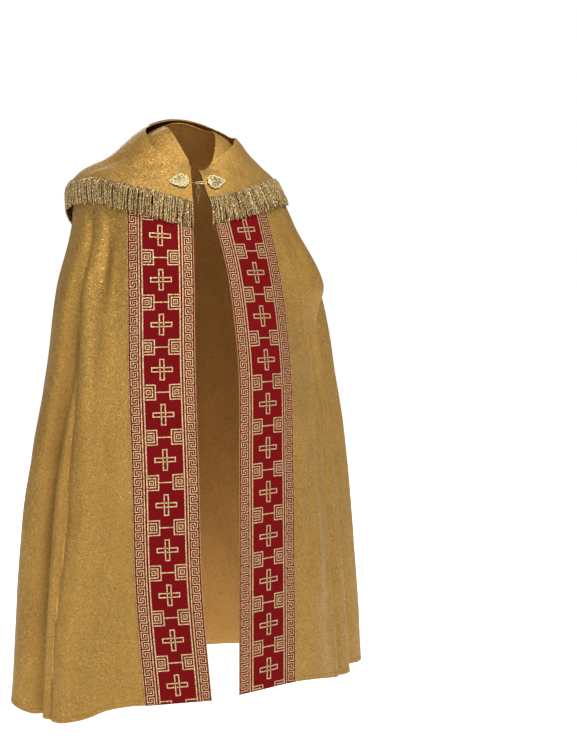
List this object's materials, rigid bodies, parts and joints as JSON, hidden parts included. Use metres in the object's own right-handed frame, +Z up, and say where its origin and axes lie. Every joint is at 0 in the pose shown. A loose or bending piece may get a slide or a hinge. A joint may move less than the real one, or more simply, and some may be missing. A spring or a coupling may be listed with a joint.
{
  "type": "cope vestment",
  "caption": "Long open-fronted cope of gold metallic cloth with woven front bands, a fringed shoulder hood and a chained clasp, in its worn, hollow form.",
  "frame": {"origin": "middle of the base of the wearer's neck, where the shoulders carry the cope", "axes": "+Z up, -Y towards the garment's front, -X towards the wearer's right"},
  "size_m": [0.9011, 0.5952, 1.353],
  "materials": {
    "gold_cloth": "soft gold lame with a fine glitter",
    "woven_band": "matt red jacquard with gold thread",
    "bullion_fringe": "twisted metallic bullion",
    "clasp_metal": "pale aged gold, cast"
  },
  "bodies": {
    "cope": {"cope_body": "gold_cloth", "orphrey_right": "woven_band", "orphrey_left": "woven_band", "hood": "gold_cloth", "hood_orphrey": "woven_band", "hood_fringe": "bullion_fringe", "clasp_plate_right": "clasp_metal", "clasp_plate_left": "clasp_metal", "clasp_hook": "clasp_metal", "clasp_loop": "clasp_metal"},
    "chain_link_1": {"chain_link_1": "clasp_metal"},
    "chain_link_2": {"chain_link_2": "clasp_metal"},
    "chain_link_3": {"chain_link_3": "clasp_metal"}
  },
  "joints": [
    {"name": "link_1_swing", "type": "hinge", "parent": "cope", "child": "chain_link_1", "pos_m": [-0.02236, -0.12735, -0.08646], "axis": [1, 0, 0], "range_deg": [-60, 5]},
    {"name": "link_2_sway", "type": "hinge", "parent": "chain_link_1", "child": "chain_link_2", "pos_m": [-0.02236, -0.12735, -0.09686], "axis": [0, 1, 0], "range_deg": [-6, 6]},
    {"name": "link_3_swing", "type": "hinge", "parent": "chain_link_2", "child": "chain_link_3", "pos_m": [-0.02236, -0.12735, -0.11526], "axis": [1, 0, 0], "range_deg": [-60, 10]}
  ]
}
